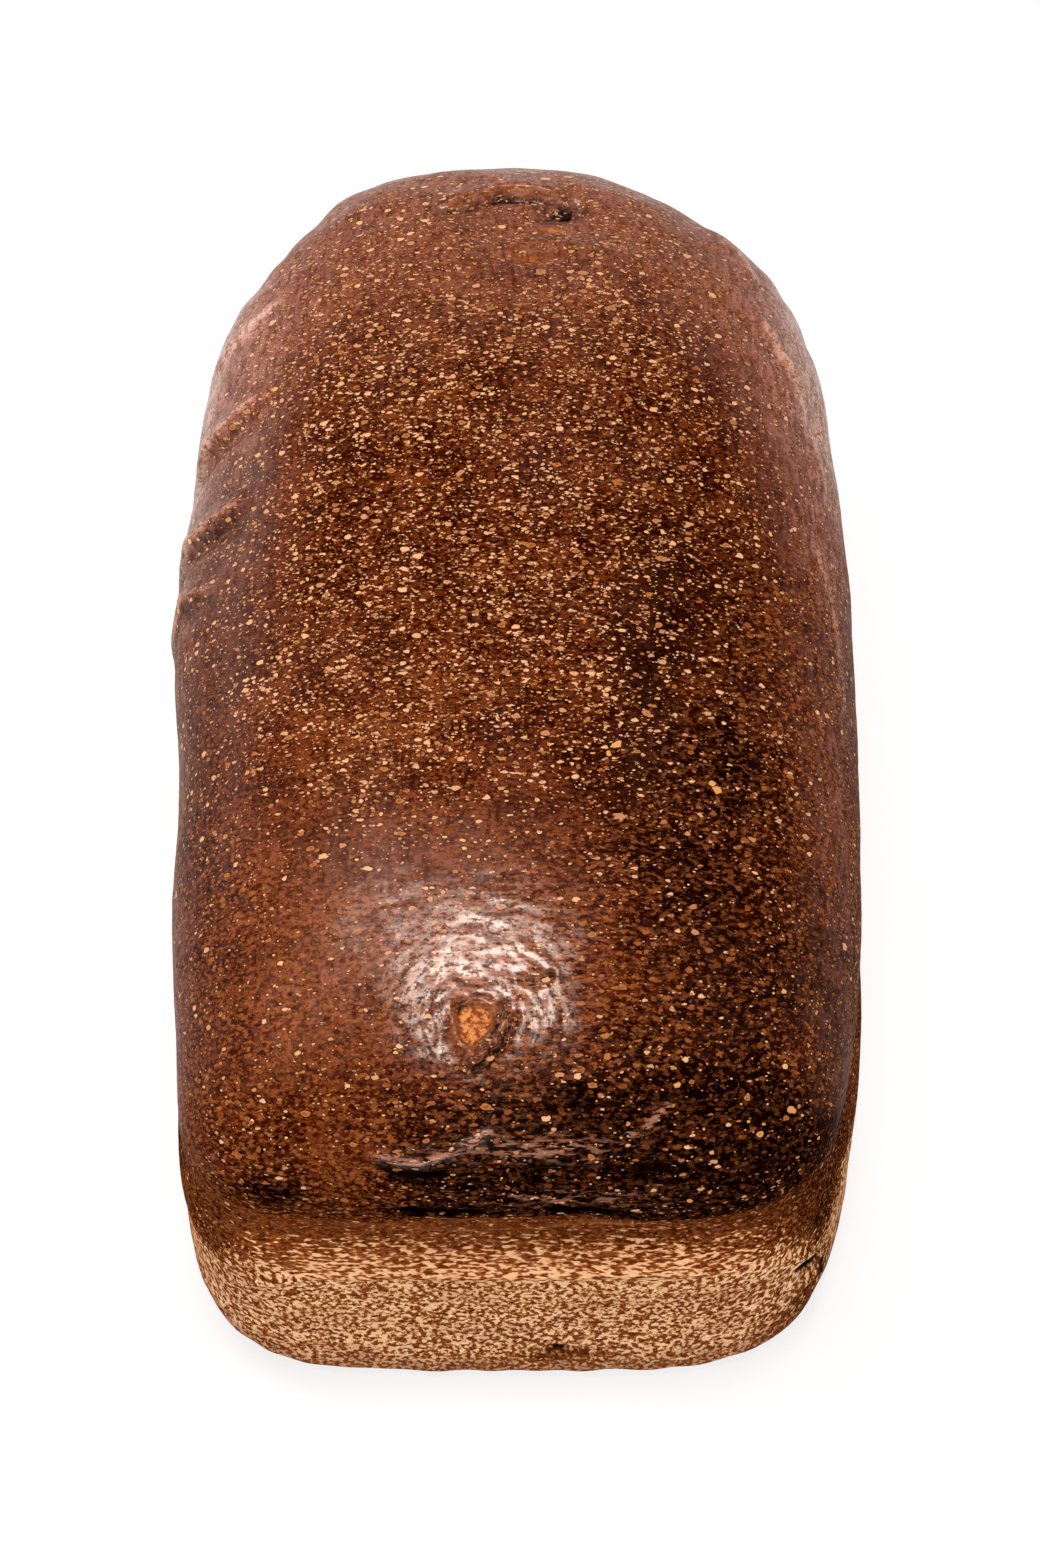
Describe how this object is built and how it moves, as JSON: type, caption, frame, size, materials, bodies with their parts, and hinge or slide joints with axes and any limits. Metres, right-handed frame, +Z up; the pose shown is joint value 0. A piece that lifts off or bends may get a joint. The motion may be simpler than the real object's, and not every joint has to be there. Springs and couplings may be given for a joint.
{
  "type": "tin loaf",
  "caption": "Uncut dark rye loaf baked in a tin: a browned, domed and speckled crust over upright paler walls, on a flat base.",
  "frame": {"origin": "middle of the flat base, at the bottom of the loaf's box", "axes": "+X across the loaf, +Y along it from the squarer end to the rounder end, +Z up from the base to the crown"},
  "size_m": [0.1154, 0.204, 0.0856],
  "materials": {
    "crust": "baked dark brown crust with tan specks, semi-gloss on the dome and dull tan on the walls"
  },
  "bodies": {
    "root": {"loaf": "crust"}
  },
  "joints": []
}
